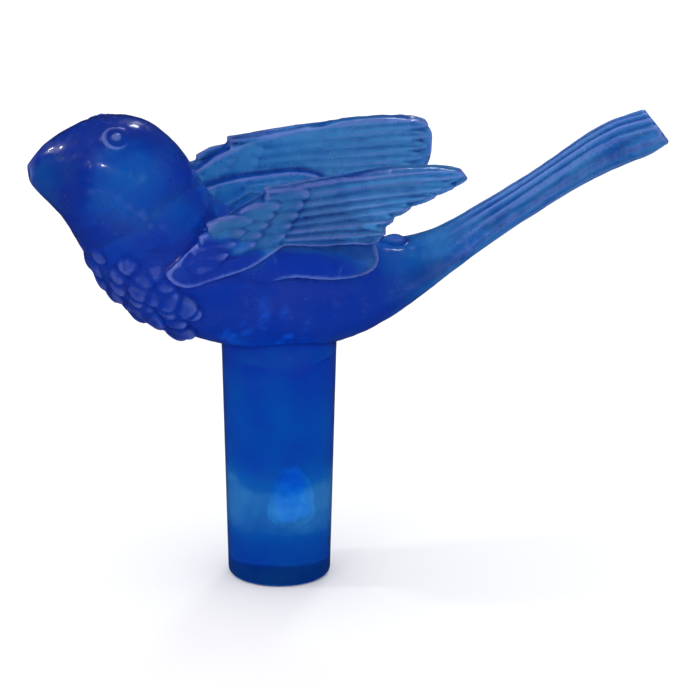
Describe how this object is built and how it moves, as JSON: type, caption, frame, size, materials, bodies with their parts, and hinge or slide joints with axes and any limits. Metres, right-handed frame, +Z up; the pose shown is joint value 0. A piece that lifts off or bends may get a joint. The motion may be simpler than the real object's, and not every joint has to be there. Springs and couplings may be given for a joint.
{
  "type": "plug-in songbird ornament",
  "caption": "Small translucent blue songbird with raised wings and a long tail, moulded on a tapered round peg that plugs into a hole.",
  "frame": {"origin": "on the peg's axis, 2.5 mm below its shoulder, in the plane where the peg is 4.76 mm thick and the rim of its hole comes", "axes": "+Z up along the peg, +X from the beak towards the tail, XZ is the bird's mirror plane, -Y is the bird's left"},
  "size_m": [0.0279, 0.0074, 0.0211],
  "materials": {
    "blue_crystal": "clear blue, glossy"
  },
  "bodies": {
    "root": {"beak": "blue_crystal", "head": "blue_crystal", "eye_left": "blue_crystal", "eye_right": "blue_crystal", "body": "blue_crystal", "wing_left": "blue_crystal", "wing_right": "blue_crystal", "tail": "blue_crystal", "peg": "blue_crystal"}
  },
  "joints": []
}
